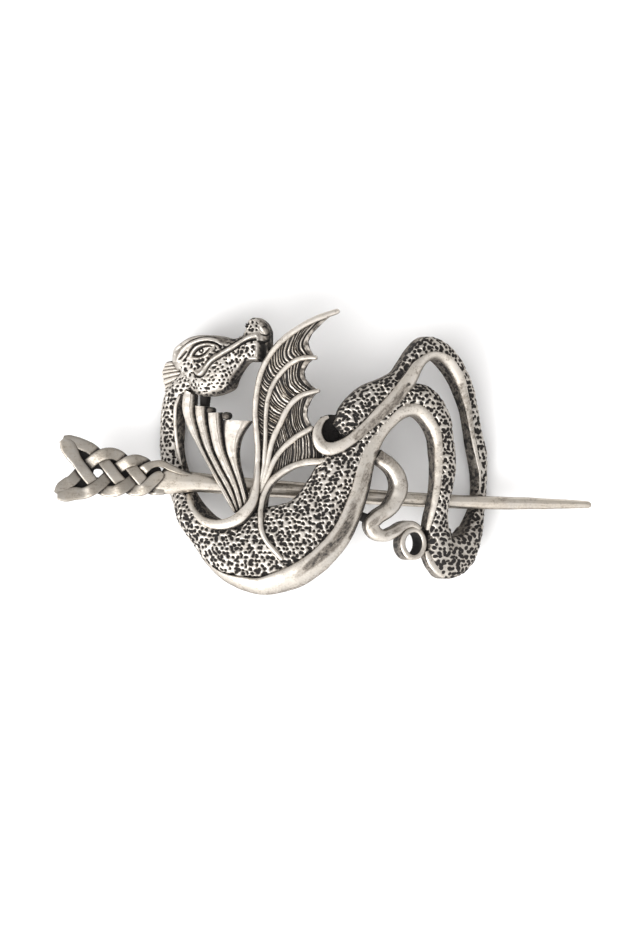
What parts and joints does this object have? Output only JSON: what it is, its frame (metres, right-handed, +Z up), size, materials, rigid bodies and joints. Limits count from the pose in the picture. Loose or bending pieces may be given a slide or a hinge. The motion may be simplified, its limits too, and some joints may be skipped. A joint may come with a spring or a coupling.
{
  "type": "hair stick with openwork hair slide",
  "caption": "Arched openwork dragon hair slide in antique silver, held by a tapered hair stick with a plaited knot head and a fish-tail end.",
  "frame": {"origin": "centre of the part's outline in plan, on the surface that the slide rests on", "axes": "+X along the stick from its knot head to its tip, +Y across the stick towards the dragon's head, +Z up from the surface"},
  "size_m": [0.1077, 0.0571, 0.0173],
  "materials": {
    "slide_metal": "antique silver plating, bright on the high spots and near black in the pits and crevices",
    "stick_metal": "antique silver plating, smooth and satin, dark between the plaited strands"
  },
  "bodies": {
    "slide": {"dragon_slide": "slide_metal"},
    "stick": {"hair_stick": "stick_metal"}
  },
  "joints": [
    {"name": "stick_draw", "type": "slide", "parent": "slide", "child": "stick", "axis": [-0.9977, 0.0575, 0.0366], "range_m": [0, 0.092]}
  ]
}
